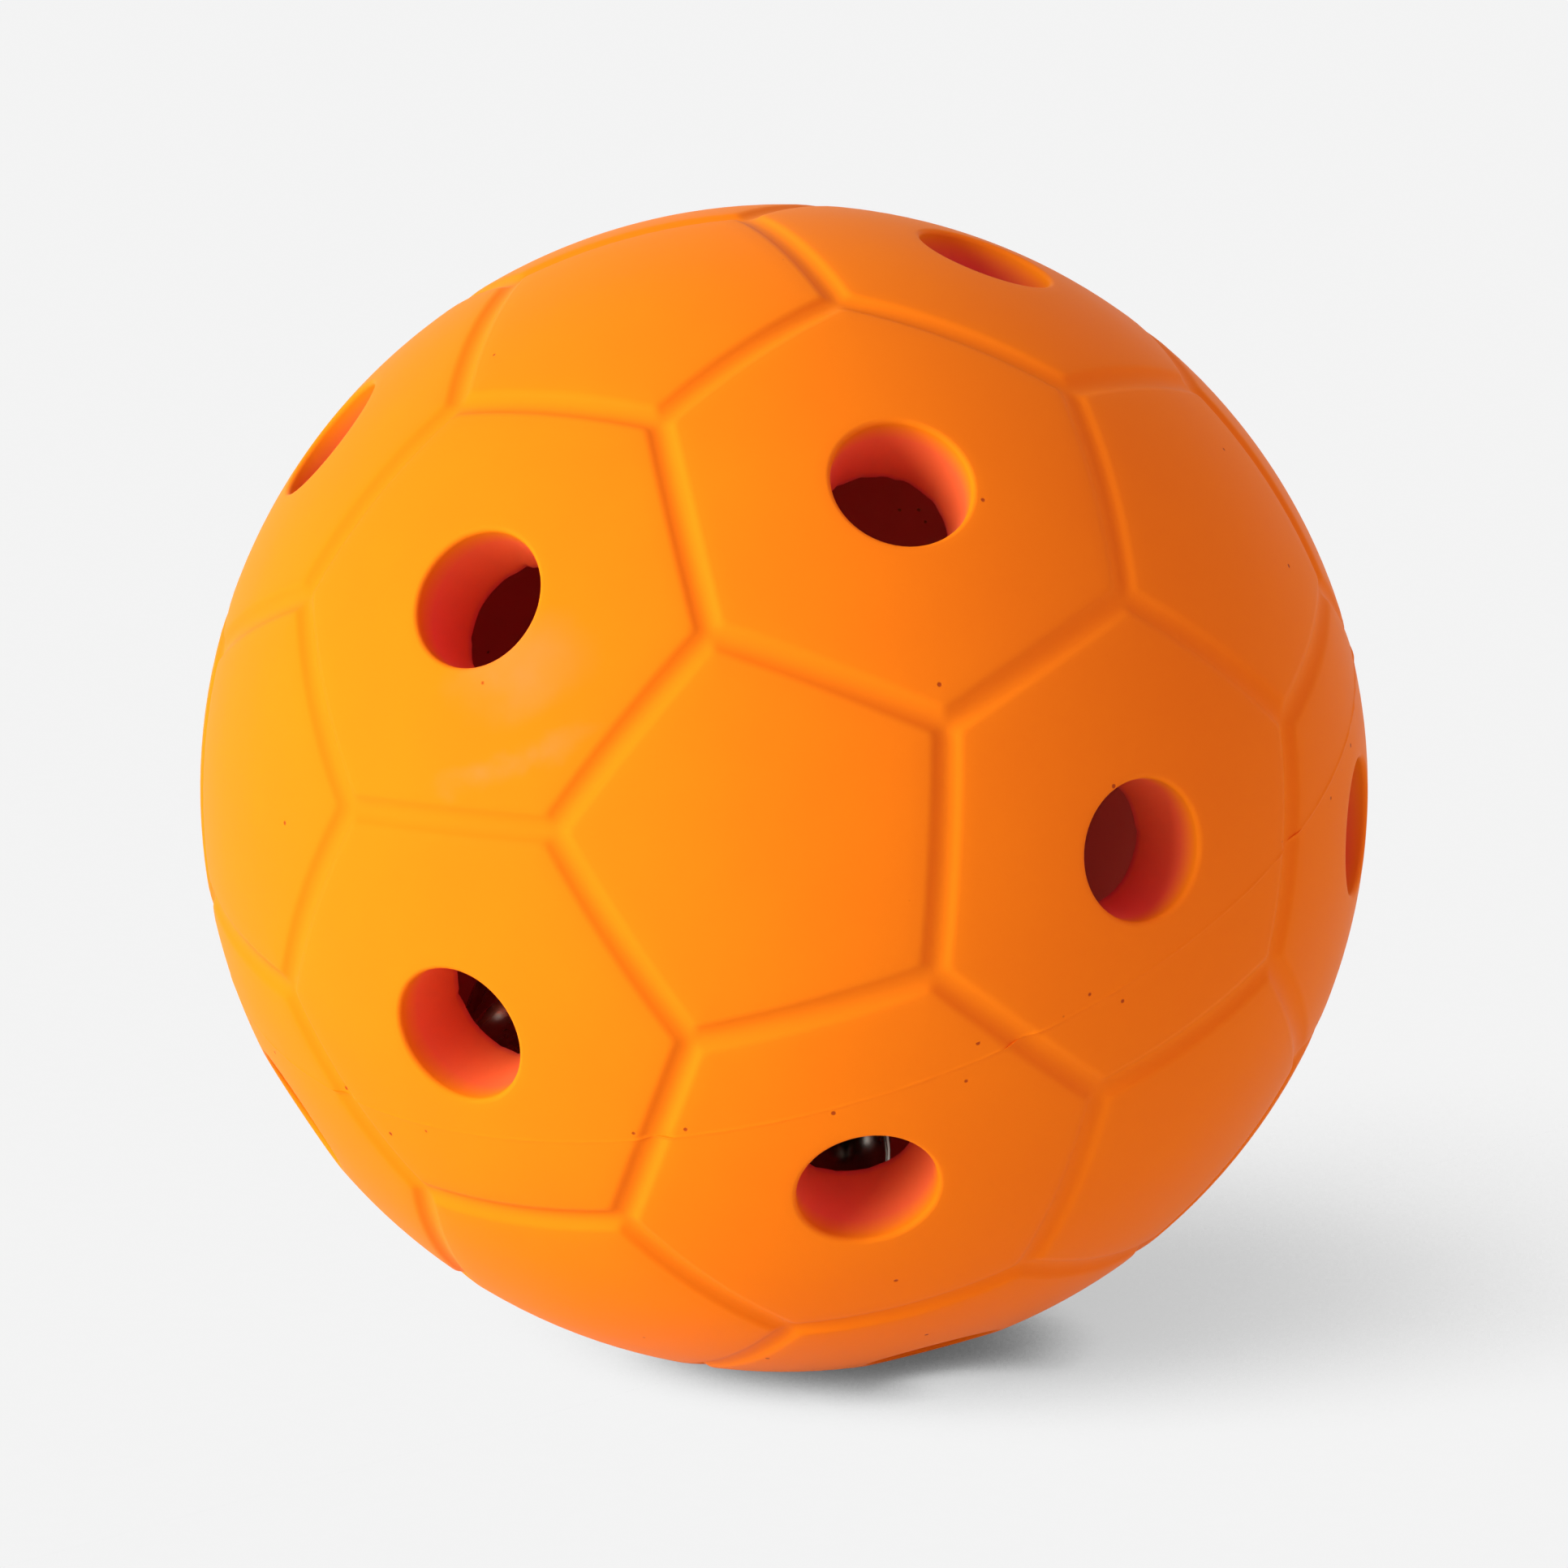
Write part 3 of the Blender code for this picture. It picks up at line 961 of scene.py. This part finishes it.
def part_half(ball, half):
    """Cut a half off at the parting line, with a ridge of mould flash, and close it there."""
    top = FLASH_SECTION[0][0] * MM
    radius = ball.diameter / 2

    def outside(rows):
        return np.hypot(rows[:, 0], rows[:, 1]) > radius - ball.wall / 2

    edit()
    bpy.ops.mesh.select_all(action="SELECT")
    bpy.ops.mesh.bisect(plane_co=(0, 0, top), plane_no=(0, 0, 1), clear_inner=True, threshold=CUT_EXACT)
    pick(half, lambda rows: (rows[:, 2] < top + SAME_HEIGHT) & ~outside(rows))
    grow(1, -top)
    pick(half, lambda rows: (abs(rows[:, 2] - top) < SAME_HEIGHT) & outside(rows))
    level, proud = FLASH_SECTION[0]
    for height, out in FLASH_SECTION[1:]:
        grow(1 + (out - proud) * MM / radius, (height - level) * MM)
        level, proud = height, out
    pick(half, lambda rows: abs(rows[:, 2]) < SAME_HEIGHT)
    bpy.ops.mesh.fill()
    leave()


def flash_left(ball, here):
    """Share of the mould flash left at a place on the parting line: worn down on one side."""
    fullest = ((1 + here.normalized().dot(SWAP_AXIS)) / 2) ** FLASH_FALL
    return ball.flash * (FLASH_LEAST + (1 - FLASH_LEAST) * fullest)


def roughen(ball, half, holes):
    """Wear down the flash, alike on both halves, and nick the inner edges of the holes."""
    radius = ball.diameter / 2
    rows = places(half)
    around = np.hypot(rows[:, 0], rows[:, 1])
    swap_halves = Matrix.Rotation(pi, 4, SWAP_AXIS)
    stands = np.interp(rows[:, 2] / MM, *np.array(FLASH_SECTION[::-1]).T) * MM
    for i in np.flatnonzero((stands > 0) & (around > radius - ball.wall / 2)):
        here = Vector((rows[i, 0], rows[i, 1], 0))
        left = flash_left(ball, here)
        ragged = sum(noise.noise(spot / FLASH_TATTERS) for spot in (here, swap_halves @ here))
        rows[i, :2] *= 1 + stands[i] * (left * (1 + ragged) - 1) / radius
    deep = np.linalg.norm(rows, axis=1) < radius - ball.wall + NICKED_HEIGHT
    for hole in holes:
        along = rows @ np.array(hole)
        from_axis = np.linalg.norm(rows - along[:, None] * np.array(hole), axis=1)
        for i in np.flatnonzero(deep & (along > 0) & (from_axis < ball.hole_inner / 2 + NICKED_WIDTH)):
            bite = noise.noise(Vector(rows[i]) / NICK_SIZE)
            out = rows[i] - along[i] * np.array(hole)
            rows[i] += out / from_axis[i] * ball.inner_nicks * max(bite, 0)
    half.data.vertices.foreach_set("co", rows.ravel())
    half.data.update()


class BELLBALL_OT_half_shells(bpy.types.Operator):
    """Model the rubber ball as two half shells that meet at the mould's parting line"""

    bl_idname = "bell_ball.half_shells"
    bl_label = "Half shells"

    def execute(self, context):
        ball = context.scene.bell_ball.ball
        upper, holes = cover_half(ball)
        part_half(ball, upper)
        roughen(ball, upper, holes)
        upper.name = "upper_half_rubber"
        tidy_shape(upper)
        lower = copy_of(upper, "lower_half_rubber")
        pose = Euler(ball.turn).to_matrix().to_4x4()
        rubber = rubber_material(ball)
        for half, turn, node in (
            (upper, Matrix(), "upper_half_shell"),
            (lower, Matrix.Rotation(pi, 4, SWAP_AXIS), "lower_half_shell"),
        ):
            apply_place(half, pose @ turn)
            half.data.materials.clear()
            half.data.materials.append(rubber)
            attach(half, "shell")
            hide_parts(node)
        return {"FINISHED"}


def bell_place(name):
    """Where a bell lies, from its packed loop: its middle, with its loop along local Z and X."""
    middle = next(Vector(j["pos_m"]) for j in frame["joints"] if j["name"] == name + "_pellet_roll")
    rows = places(frame["nodes"][name + "_loop"]) - np.array(middle)
    up = Vector(rows.mean(0)).normalized()
    flat = rows - np.outer(rows @ np.array(up), np.array(up))
    side = Vector(np.linalg.eigh(flat.T @ flat)[1][:, 2])
    side = (side - up * side.dot(up)).normalized()
    turn = Matrix((side, up.cross(side), up)).transposed().to_4x4()
    return Matrix.Translation(middle) @ turn


def lay_out(model, made, ending, material):
    """Copy a modelled bell piece to every bell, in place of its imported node, and delete the model."""
    for name in BELLS:
        node = f"{name}_{ending}"
        piece = copy_of(model, f"{name}_{made}_{ending}")
        if ending == "pellet":
            low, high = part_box(node)
            apply_place(piece, Matrix.Translation((low + high) / 2))
        else:
            apply_place(piece, bell_place(name))
        piece.data.materials.clear()
        piece.data.materials.append(material)
        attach(piece, node if ending == "pellet" else name)
        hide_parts(node)
    bpy.data.objects.remove(model, do_unlink=True)


def pressed_half(bell):
    """The upper half of a bell: a dome with a flange round its mouth, pressed from sheet."""
    radius = bell.diameter / 2
    half = start(
        bpy.ops.mesh.primitive_uv_sphere_add, segments=BELL_SEGMENTS, ring_count=BELL_RINGS, radius=radius
    )
    edit()
    bpy.ops.mesh.select_all(action="SELECT")
    bpy.ops.mesh.bisect(plane_co=(0, 0, bell.rim_height), plane_no=(0, 0, 1), clear_inner=True)
    pick(half, lambda rows: rows[:, 2] < bell.rim_height + SAME_HEIGHT)
    grow(1 + bell.rim_proud / radius, 0)
    grow(1, -bell.rim_height)
    bpy.ops.mesh.select_all(action="SELECT")
    bpy.ops.mesh.normals_make_consistent(inside=False)
    leave()
    wall = half.modifiers.new("sheet", "SOLIDIFY")
    wall.thickness = bell.sheet
    wall.offset = -1
    wall.use_even_offset = True
    bpy.ops.object.modifier_apply(modifier=wall.name)
    return half


def plated_material(bell):
    """Nickel-plated steel, pressed and tumbled: greyish and dulled in patches by rubbing on rubber."""
    found = bpy.data.materials.get("nickel_plate")
    return found or metal_material("nickel_plate", bell.plate, bell.tarnish, smooth=0.18, rough=0.40)


class BELLBALL_OT_crowns(bpy.types.Operator):
    """Press the upper halves of the bells"""

    bl_idname = "bell_ball.crowns"
    bl_label = "Bell crowns"

    def execute(self, context):
        bell = context.scene.bell_ball.bell
        crown = pressed_half(bell)
        tidy_shape(crown)
        lay_out(crown, "pressed", "crown", plated_material(bell))
        return {"FINISHED"}


class BELLBALL_OT_slotted_halves(bpy.types.Operator):
    """Press the lower halves of the bells and cut their crossed slots"""

    bl_idname = "bell_ball.slotted_halves"
    bl_label = "Bell slotted halves"

    def execute(self, context):
        bell = context.scene.bell_ball.bell
        half = pressed_half(bell)
        apply_place(half, Matrix.Scale(-1, 4, Vector((0, 0, 1))))
        tidy_shape(half)
        reach = bell.diameter * SLOT_TOOL_LENGTH
        for turn in (Matrix(), Matrix.Rotation(pi / 2, 4, "Z")):
            bar = start(bpy.ops.mesh.primitive_cube_add, size=1)
            apply_place(
                bar,
                turn
                @ Matrix.Translation((0, 0, -bell.slot_depth - bell.diameter / 2))
                @ Matrix.Diagonal((reach, bell.slot_width, bell.diameter, 1)),
            )
            cut_with(half, bar)
            drill = start(
                bpy.ops.mesh.primitive_cylinder_add,
                vertices=SLOT_DRILL_SIDES,
                radius=bell.slot_hole / 2,
                depth=reach,
            )
            apply_place(
                drill, turn @ Matrix.Translation((0, 0, -bell.slot_depth)) @ Matrix.Rotation(pi / 2, 4, "Y")
            )
            cut_with(half, drill)
        edit()
        sort_mesh()
        bpy.ops.mesh.remove_doubles(threshold=bell.slot_rounding / 2)
        leave()
        tidy_shape(half)
        worn = half.modifiers.new("worn_edges", "BEVEL")
        worn.width = bell.slot_rounding
        worn.segments = SLOT_EDGE_STEPS
        worn.limit_method = "ANGLE"
        worn.angle_limit = WORN_EDGE
        bpy.ops.object.modifier_apply(modifier=worn.name)
        tidy_shape(half)
        lay_out(half, "pressed", "slotted_half", plated_material(bell))
        return {"FINISHED"}


class BELLBALL_OT_loops(bpy.types.Operator):
    """Bend the wire loops that stand on the bells' crowns"""

    bl_idname = "bell_ball.loops"
    bl_label = "Bell loops"

    def execute(self, context):
        bell = context.scene.bell_ball.bell
        bend = (bell.loop_width - bell.loop_wire) / 2
        seat = bell.diameter / 2 - bell.sheet / 2
        loop = start(
            bpy.ops.mesh.primitive_circle_add,
            vertices=WIRE_SEGMENTS,
            radius=bell.loop_wire / 2,
            fill_type="NGON",
            location=(bend, 0, seat),
        )
        bpy.ops.object.transform_apply(location=True, rotation=True, scale=True)
        leg = bell.loop_leg + bell.sheet
        edit()
        bpy.ops.mesh.select_all(action="SELECT")
        bpy.ops.mesh.extrude_region_move(TRANSFORM_OT_translate={"value": (0, 0, leg)})
        bpy.ops.mesh.spin(
            steps=LOOP_STEPS, angle=pi, center=(0, 0, seat + leg), axis=(0, 1, 0), use_normal_flip=False
        )
        bpy.ops.mesh.extrude_region_move(TRANSFORM_OT_translate={"value": (0, 0, -leg)})
        leave()
        tidy_shape(loop)
        lay_out(loop, "bent", "loop", plated_material(bell))
        return {"FINISHED"}


class BELLBALL_OT_pellets(bpy.types.Operator):
    """Make the steel pellets that rattle in the bells"""

    bl_idname = "bell_ball.pellets"
    bl_label = "Bell pellets"

    def execute(self, context):
        bell = context.scene.bell_ball.bell
        pellet = start(
            bpy.ops.mesh.primitive_ico_sphere_add, subdivisions=PELLET_SUBDIVISIONS, radius=bell.pellet / 2
        )
        dents = bpy.data.textures.new("dents", "CLOUDS")
        dents.noise_scale = bell.pellet / PELLET_DENTS
        battered = pellet.modifiers.new("dents", "DISPLACE")
        battered.texture = dents
        battered.strength = bell.pellet_dents
        battered.mid_level = 1.0
        bpy.ops.object.modifier_apply(modifier=battered.name)
        bpy.ops.object.shade_smooth()
        steel = metal_material("tumbled_steel", bell.steel, bell.tarnish, smooth=0.30, rough=0.45)
        lay_out(pellet, "tumbled", "pellet", steel)
        return {"FINISHED"}


def background_rays(tree):
    """1 for the rays that show the background: seen by the camera, mirrored or passed through."""
    ray = add_node(tree, "ShaderNodeLightPath")
    seen = ray.outputs["Is Camera Ray"]
    for kind in ("Is Glossy Ray", "Is Transmission Ray"):
        seen = add_node(
            tree, "ShaderNodeMath", {0: seen, 1: ray.outputs[kind]}, operation="MAXIMUM"
        ).outputs[0]
    return seen


def paper_material(studio):
    """Matt white paper: seen as an even pale grey with the ball's soft shade, and plain to the ball."""
    material, tree, shader = new_material("white_paper")
    at = add_node(tree, "ShaderNodeTexCoord").outputs["Object"]
    tooth = add_node(tree, "ShaderNodeTexNoise", {"Vector": at, "Scale": per(PAPER_TOOTH), "Detail": 2.0})
    paler = [min(1.0, share * PAPER_PALER) for share in studio.floor_colour]
    tone = add_node(
        tree,
        "ShaderNodeMix",
        {0: tooth.outputs["Fac"], 6: (*studio.floor_colour, 1), 7: (*paler, 1)},
        data_type="RGBA",
    ).outputs[2]
    tree.links.new(tone, shader.inputs["Base Color"])
    shader.inputs["Roughness"].default_value = 0.9
    shader.inputs["Specular IOR Level"].default_value = 0.1
    # The ball shades the floor twice: softly on the side away from the key, and darkly where it stands
    for side, reach, (shut, clear), dark in (
        (studio.shade_side, studio.shade_reach, SHADE_OPEN, studio.shade_dark),
        (studio.contact_side, studio.contact_reach, CONTACT_OPEN, studio.contact_dark),
    ):
        way = add_node(tree, "ShaderNodeCombineXYZ", dict(zip("XYZ", toward(side, studio.shade_height))))
        open_to = add_node(
            tree,
            "ShaderNodeAmbientOcclusion",
            {"Normal": way.outputs[0], "Distance": reach},
            samples=SHADE_SAMPLES,
        )
        shade = add_node(
            tree,
            "ShaderNodeMapRange",
            {"Value": open_to.outputs["AO"], 1: shut, 2: clear, 3: dark},
            interpolation_type="SMOOTHSTEP",
        )
        tone = add_node(
            tree,
            "ShaderNodeMix",
            {0: 1.0, 6: tone, 7: shade.outputs["Result"]},
            data_type="RGBA",
            blend_type="MULTIPLY",
        ).outputs[2]
    glow = add_node(tree, "ShaderNodeEmission", {"Color": tone})
    mixed = add_node(
        tree, "ShaderNodeMixShader", {0: background_rays(tree), 1: shader.outputs[0], 2: glow.outputs[0]}
    )
    tree.links.new(mixed.outputs[0], tree.nodes["Material Output"].inputs["Surface"])
    return material


def toward(side, height):
    """The direction to a place left of the camera and above the floor."""
    return Vector((-sin(side) * cos(height), -cos(side) * cos(height), sin(height)))


def white_room(studio):
    """A world of soft light, rosy from the right, that is seen as the floor's pale grey."""
    world = bpy.data.worlds.new("white_room")
    world.use_nodes = True
    tree = world.node_tree
    sky = tree.nodes["Background"]
    way = add_node(tree, "ShaderNodeTexCoord").outputs["Generated"]
    ways = add_node(tree, "ShaderNodeSeparateXYZ", {0: way}).outputs
    back = add_node(tree, "ShaderNodeVectorMath", {0: way, 1: BACK_FILL_WAY}, operation="DOT_PRODUCT")
    shares = [
        add_node(tree, "ShaderNodeMapRange", {"Value": cosine, 1: least, 2: full}).outputs["Result"]
        for cosine, (least, full) in (
            (ways["X"], RIGHT_FILL_BLEND),
            (back.outputs["Value"], BACK_FILL_BLEND),
        )
    ]
    shares.append(background_rays(tree))
    tone = (*studio.left_fill, 1)
    for share, colour in zip(shares, (studio.right_fill, studio.back_fill, studio.floor_colour)):
        tone = add_node(
            tree, "ShaderNodeMix", {0: share, 6: tone, 7: (*colour, 1)}, data_type="RGBA"
        ).outputs[2]
    tree.links.new(tone, sky.inputs["Color"])
    return world


class BELLBALL_OT_studio(bpy.types.Operator):
    """Set up the paper floor, the soft light and the camera"""

    bl_idname = "bell_ball.studio"
    bl_label = "Studio"

    def execute(self, context):
        scene = context.scene
        studio = scene.bell_ball.studio
        floor = start(bpy.ops.mesh.primitive_plane_add, size=FLOOR_SIZE, location=(0, 0, CAD_BOX[0].z))
        floor.name = "paper_floor"
        bpy.ops.object.transform_apply(location=True, rotation=True, scale=True)
        floor.data.materials.append(paper_material(studio))

        bpy.ops.object.light_add(type="SUN")
        key = bpy.context.object
        key.name = "soft_key"
        way = toward(studio.key_side, studio.key_height)
        key.rotation_euler = way.to_track_quat("Z", "Y").to_euler()
        key.data.energy = studio.key_level * pi
        key.data.angle = studio.key_size
        # The key is soft enough to leave no highlight: the gloss shows the pale room instead
        key.visible_glossy = False

        scene.world = white_room(studio)

        back, up = cos(studio.camera_height), sin(studio.camera_height)
        spot = Vector((0, -back, up)) * studio.camera_distance
        aim = Vector((0, 0, studio.framing)) - spot
        bpy.ops.object.camera_add(location=spot, rotation=aim.to_track_quat("-Z", "Y").to_euler())
        camera = bpy.context.object
        camera.data.sensor_width = FRAME_WIDTH
        camera.data.lens = studio.lens
        camera.data.clip_start = CAMERA_NEAREST
        scene.camera = camera
        scene.view_settings.view_transform = "Standard"
        return {"FINISHED"}


class BELLBALL_PT_panel(bpy.types.Panel):
    """Lists the pieces of the bell ball"""

    bl_idname = "BELLBALL_PT_panel"
    bl_label = "Bell ball"
    bl_space_type = "VIEW_3D"
    bl_region_type = "UI"
    bl_category = "Bell ball"

    def draw(self, context):
        for part, operators in PARTS.items():
            settings = getattr(context.scene.bell_ball, part)
            box = self.layout.box()
            for name in settings.bl_rna.properties.keys():
                if name not in ("rna_type", "name"):
                    box.prop(settings, name)
            for operator in operators:
                box.operator(operator.bl_idname)


PARTS = {
    "ball": (BELLBALL_OT_half_shells,),
    "bell": (
        BELLBALL_OT_crowns,
        BELLBALL_OT_slotted_halves,
        BELLBALL_OT_loops,
        BELLBALL_OT_pellets,
    ),
    "studio": (BELLBALL_OT_studio,),
}
CLASSES = (
    RubberBallSettings,
    JingleBellSettings,
    StudioSettings,
    BellBallSettings,
    *(operator for operators in PARTS.values() for operator in operators),
    BELLBALL_PT_panel,
)


def register():
    for kind in CLASSES:
        bpy.utils.register_class(kind)
    bpy.types.Scene.bell_ball = PointerProperty(type=BellBallSettings)


def unregister():
    del bpy.types.Scene.bell_ball
    for kind in reversed(CLASSES):
        bpy.utils.unregister_class(kind)


def main():
    register()
    bpy.ops.bell_ball.half_shells()
    bpy.ops.bell_ball.crowns()
    bpy.ops.bell_ball.slotted_halves()
    bpy.ops.bell_ball.loops()
    bpy.ops.bell_ball.pellets()
    bpy.ops.bell_ball.studio()


if __name__ == "__main__":
    main()
